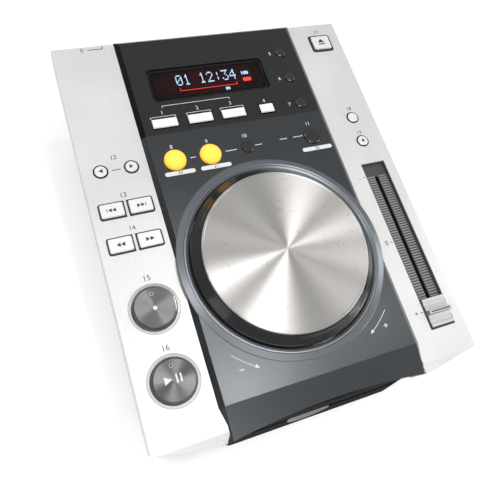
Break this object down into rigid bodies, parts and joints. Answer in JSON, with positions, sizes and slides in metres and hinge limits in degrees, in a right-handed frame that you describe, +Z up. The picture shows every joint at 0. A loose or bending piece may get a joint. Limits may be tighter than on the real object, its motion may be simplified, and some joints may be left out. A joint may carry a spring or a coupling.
{
  "type": "tabletop disc player",
  "caption": "Wedge-shaped tabletop disc player with a front slot, a jog dial, a tempo fader, push buttons and a display",
  "frame": {"origin": "middle of the bounding box, on the surface it stands on", "axes": "+Z up, +X to the right, the user sits on the -Y side"},
  "size_m": [0.218, 0.2796, 0.1056],
  "materials": {
    "silver_case": "painted silver, fine satin",
    "black_case": "black, satin",
    "display_panel": "dark charcoal, semi gloss",
    "control_panel": "metallic dark grey",
    "window": "dark red tint",
    "display": "black display glass",
    "jog_metal": "radially brushed",
    "jog_black": "gloss black",
    "silver_button": "silver, satin",
    "white_button": "off white",
    "black_button": "black",
    "lit_button": "lit amber, translucent",
    "brushed_cap": "dark, radially brushed",
    "fader_tray": "dark grey",
    "fader_knob": "silver, satin",
    "steel": "zinc plated",
    "brass": "plated",
    "dish": "brushed, light grey",
    "black_moulding": "black",
    "rubber": "black",
    "board": "printed circuit board"
  },
  "bodies": {
    "case": {"lower_case": "black_case", "slot_nose": "black_case", "finger_dish": "dish", "upper_case": "silver_case", "display_panel": "display_panel", "control_panel": "control_panel", "display_window": "window", "display_module": "display", "jog_ring": "control_panel", "jog_bearing": "brass", "fader_plate": "fader_tray", "fader_unit": "steel", "power_switch": "black_case", "audio_jacks": "brass", "control_jack": "black_case", "cord_gland": "black_case", "main_board": "board", "panel_board": "board", "power_supply": "board", "feet": "rubber", "case_screws": "steel", "loader_chassis": "steel", "guide_rod": "steel", "drive_motors": "steel"},
    "jog": {"jog_skirt": "jog_black", "jog_cap": "jog_metal", "jog_shaft": "steel", "encoder_disc": "black_moulding"},
    "fader": {"fader_lever": "steel", "fader_knob": "fader_knob"},
    "roller": {"loading_roller": "rubber"},
    "turntable": {"turntable": "black_moulding"},
    "puck": {"clamp_puck": "black_moulding"},
    "sled": {"pickup_sled": "black_moulding"},
    "screw": {"sled_screw": "steel"},
    "cue": {"cue_button": "black_button", "cue_cap": "brushed_cap"},
    "play": {"play_button": "black_button", "play_cap": "brushed_cap"},
    "eject": {"eject_button": "silver_button"},
    "text": {"text_button": "black_button"},
    "time": {"time_button": "black_button"},
    "auto": {"auto_button": "black_button"},
    "bar_1": {"bar_button_1": "white_button"},
    "bar_2": {"bar_button_2": "white_button"},
    "bar_3": {"bar_button_3": "white_button"},
    "bar_4": {"bar_button_4": "white_button"},
    "loop_in": {"loop_in_button": "lit_button"},
    "loop_out": {"loop_out_button": "lit_button"},
    "reloop": {"reloop_button": "black_button"},
    "loop": {"loop_button": "black_button"},
    "range": {"range_button": "silver_button"},
    "key": {"key_button": "silver_button"},
    "folder_back": {"folder_back_button": "silver_button"},
    "folder_next": {"folder_next_button": "silver_button"},
    "track_back": {"track_back_button": "silver_button"},
    "track_next": {"track_next_button": "silver_button"},
    "search_back": {"search_back_button": "silver_button"},
    "search_next": {"search_next_button": "silver_button"},
    "power": {"power_button": "black_button"}
  },
  "joints": [
    {"name": "jog_spin", "type": "hinge", "parent": "case", "child": "jog", "pos_m": [0.0012, -0.04339, 0.07515], "axis": [0, -0.1564, 0.9877], "continuous": true},
    {"name": "fader_slide", "type": "slide", "parent": "case", "child": "fader", "axis": [0, 0.9877, 0.1564], "range_m": [0, 0.1]},
    {"name": "roller_spin", "type": "hinge", "parent": "case", "child": "roller", "pos_m": [0.0012, -0.10955, 0.0271], "axis": [1, 0, 0], "continuous": true},
    {"name": "turntable_spin", "type": "hinge", "parent": "case", "child": "turntable", "pos_m": [0.0012, -0.05815, 0.03], "axis": [0, 0, 1], "continuous": true},
    {"name": "puck_spin", "type": "hinge", "parent": "case", "child": "puck", "pos_m": [0.0012, -0.05815, 0.038], "axis": [0, 0, 1], "continuous": true},
    {"name": "sled_slide", "type": "slide", "parent": "case", "child": "sled", "axis": [0, 1, 0], "range_m": [0, 0.034]},
    {"name": "screw_spin", "type": "hinge", "parent": "case", "child": "screw", "pos_m": [-0.0228, -0.03013, 0.024], "axis": [0, 1, 0], "range_deg": [0, 4082]},
    {"name": "cue_press", "type": "slide", "parent": "case", "child": "cue", "axis": [0, 0.1564, -0.9877], "range_m": [0, 0.0012], "stiffness_N_per_m": 500, "springref_m": -0.001},
    {"name": "play_press", "type": "slide", "parent": "case", "child": "play", "axis": [0, 0.1564, -0.9877], "range_m": [0, 0.0012], "stiffness_N_per_m": 500, "springref_m": -0.001},
    {"name": "eject_press", "type": "slide", "parent": "case", "child": "eject", "axis": [0, 0.1564, -0.9877], "range_m": [0, 0.0006], "stiffness_N_per_m": 500, "springref_m": -0.001},
    {"name": "text_press", "type": "slide", "parent": "case", "child": "text", "axis": [0, 0.1564, -0.9877], "range_m": [0, 0.0006], "stiffness_N_per_m": 500, "springref_m": -0.001},
    {"name": "time_press", "type": "slide", "parent": "case", "child": "time", "axis": [0, 0.1564, -0.9877], "range_m": [0, 0.0006], "stiffness_N_per_m": 500, "springref_m": -0.001},
    {"name": "auto_press", "type": "slide", "parent": "case", "child": "auto", "axis": [0, 0.1564, -0.9877], "range_m": [0, 0.0006], "stiffness_N_per_m": 500, "springref_m": -0.001},
    {"name": "bar_1_press", "type": "slide", "parent": "case", "child": "bar_1", "axis": [0, 0.1564, -0.9877], "range_m": [0, 0.0006], "stiffness_N_per_m": 500, "springref_m": -0.001},
    {"name": "bar_2_press", "type": "slide", "parent": "case", "child": "bar_2", "axis": [0, 0.1564, -0.9877], "range_m": [0, 0.0006], "stiffness_N_per_m": 500, "springref_m": -0.001},
    {"name": "bar_3_press", "type": "slide", "parent": "case", "child": "bar_3", "axis": [0, 0.1564, -0.9877], "range_m": [0, 0.0006], "stiffness_N_per_m": 500, "springref_m": -0.001},
    {"name": "bar_4_press", "type": "slide", "parent": "case", "child": "bar_4", "axis": [0, 0.1564, -0.9877], "range_m": [0, 0.0006], "stiffness_N_per_m": 500, "springref_m": -0.001},
    {"name": "loop_in_press", "type": "slide", "parent": "case", "child": "loop_in", "axis": [0, 0.1564, -0.9877], "range_m": [0, 0.0006], "stiffness_N_per_m": 500, "springref_m": -0.001},
    {"name": "loop_out_press", "type": "slide", "parent": "case", "child": "loop_out", "axis": [0, 0.1564, -0.9877], "range_m": [0, 0.0006], "stiffness_N_per_m": 500, "springref_m": -0.001},
    {"name": "reloop_press", "type": "slide", "parent": "case", "child": "reloop", "axis": [0, 0.1564, -0.9877], "range_m": [0, 0.0006], "stiffness_N_per_m": 500, "springref_m": -0.001},
    {"name": "loop_press", "type": "slide", "parent": "case", "child": "loop", "axis": [0, 0.1564, -0.9877], "range_m": [0, 0.0006], "stiffness_N_per_m": 500, "springref_m": -0.001},
    {"name": "range_press", "type": "slide", "parent": "case", "child": "range", "axis": [0, 0.1564, -0.9877], "range_m": [0, 0.0006], "stiffness_N_per_m": 500, "springref_m": -0.001},
    {"name": "key_press", "type": "slide", "parent": "case", "child": "key", "axis": [0, 0.1564, -0.9877], "range_m": [0, 0.0006], "stiffness_N_per_m": 500, "springref_m": -0.001},
    {"name": "folder_back_press", "type": "slide", "parent": "case", "child": "folder_back", "axis": [0, 0.1564, -0.9877], "range_m": [0, 0.0006], "stiffness_N_per_m": 500, "springref_m": -0.001},
    {"name": "folder_next_press", "type": "slide", "parent": "case", "child": "folder_next", "axis": [0, 0.1564, -0.9877], "range_m": [0, 0.0006], "stiffness_N_per_m": 500, "springref_m": -0.001},
    {"name": "track_back_press", "type": "slide", "parent": "case", "child": "track_back", "axis": [0, 0.1564, -0.9877], "range_m": [0, 0.0006], "stiffness_N_per_m": 500, "springref_m": -0.001},
    {"name": "track_next_press", "type": "slide", "parent": "case", "child": "track_next", "axis": [0, 0.1564, -0.9877], "range_m": [0, 0.0006], "stiffness_N_per_m": 500, "springref_m": -0.001},
    {"name": "search_back_press", "type": "slide", "parent": "case", "child": "search_back", "axis": [0, 0.1564, -0.9877], "range_m": [0, 0.0006], "stiffness_N_per_m": 500, "springref_m": -0.001},
    {"name": "search_next_press", "type": "slide", "parent": "case", "child": "search_next", "axis": [0, 0.1564, -0.9877], "range_m": [0, 0.0006], "stiffness_N_per_m": 500, "springref_m": -0.001},
    {"name": "power_press", "type": "slide", "parent": "case", "child": "power", "axis": [0, -1, 0], "range_m": [0, 0.0025], "stiffness_N_per_m": 400, "springref_m": -0.001}
  ],
  "couplings": [
    {"joint": "puck_spin", "follows": "turntable_spin", "ratio": 1},
    {"joint": "screw_spin", "follows": "sled_slide", "rad_per_m": 2094.4}
  ]
}
